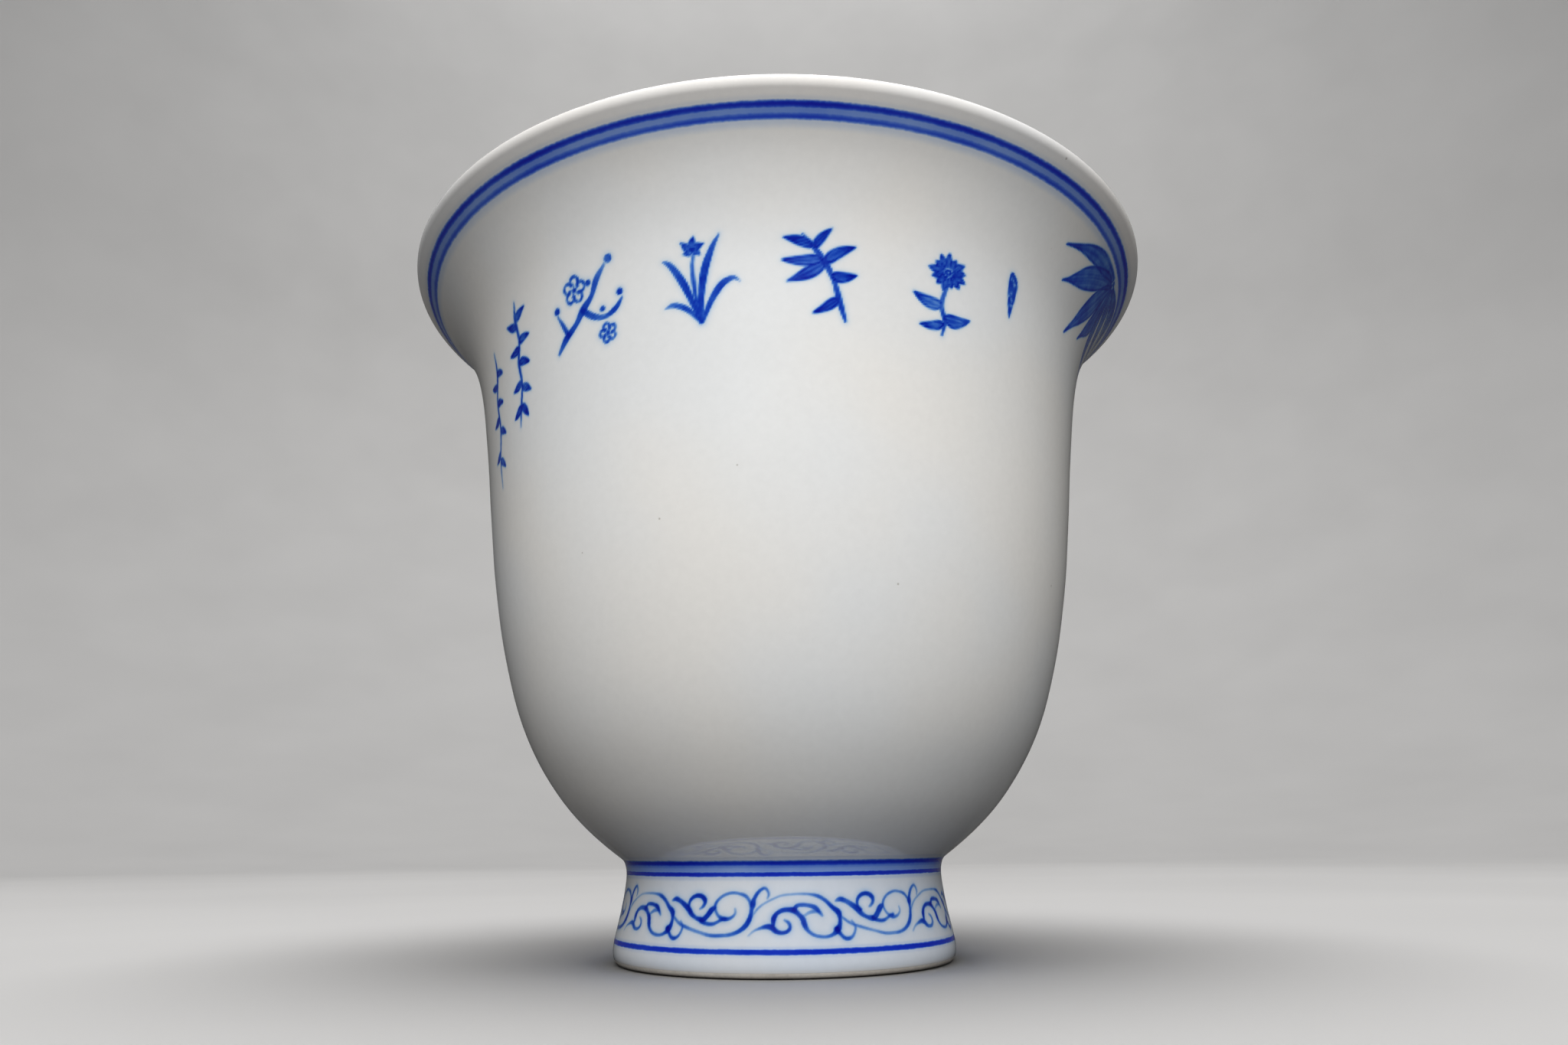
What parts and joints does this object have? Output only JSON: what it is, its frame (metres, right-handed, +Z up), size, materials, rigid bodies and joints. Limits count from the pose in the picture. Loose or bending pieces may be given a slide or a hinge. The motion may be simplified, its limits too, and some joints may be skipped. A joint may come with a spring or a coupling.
{
  "type": "teacup",
  "caption": "Small bell-shaped porcelain teacup with a flared lip and a hollow flared foot ring, cobalt blue lines and brushwork under a clear glaze.",
  "frame": {"origin": "centre of the foot ring's resting plane, on the turning axis", "axes": "+Z up along the turning axis and out of the mouth; -Y is the side the reference view looks at, and +X is to its right"},
  "size_m": [0.08, 0.08, 0.0691],
  "materials": {
    "clay_body": "matt fired porcelain clay, under the glaze",
    "clay_foot": "matt fired porcelain clay, bare and slightly tan at the foot rim",
    "slip": "fired joining slip",
    "glaze": "glossy clear glaze with a faint blue-grey cast, over white clay",
    "glaze_inside": "glossy clear glaze over plain white clay",
    "cobalt_dark": "dark cobalt line under glossy glaze",
    "cobalt_mid": "cobalt line under glossy glaze",
    "cobalt_wash": "pale cobalt wash under glossy glaze"
  },
  "bodies": {
    "root": {"bowl_body": "clay_body", "foot_ring_body": "clay_foot", "slip_seam": "slip", "exterior_glaze": "glaze", "interior_glaze": "glaze_inside", "foot_glaze": "glaze", "recess_glaze": "glaze_inside", "rim_line_upper": "cobalt_dark", "rim_wash_band": "cobalt_wash", "rim_line_lower": "cobalt_mid", "foot_line_upper": "cobalt_dark", "foot_wash_band": "cobalt_wash", "foot_line_lower": "cobalt_mid", "foot_scroll_vine": "cobalt_mid", "base_line": "cobalt_dark"}
  },
  "joints": []
}
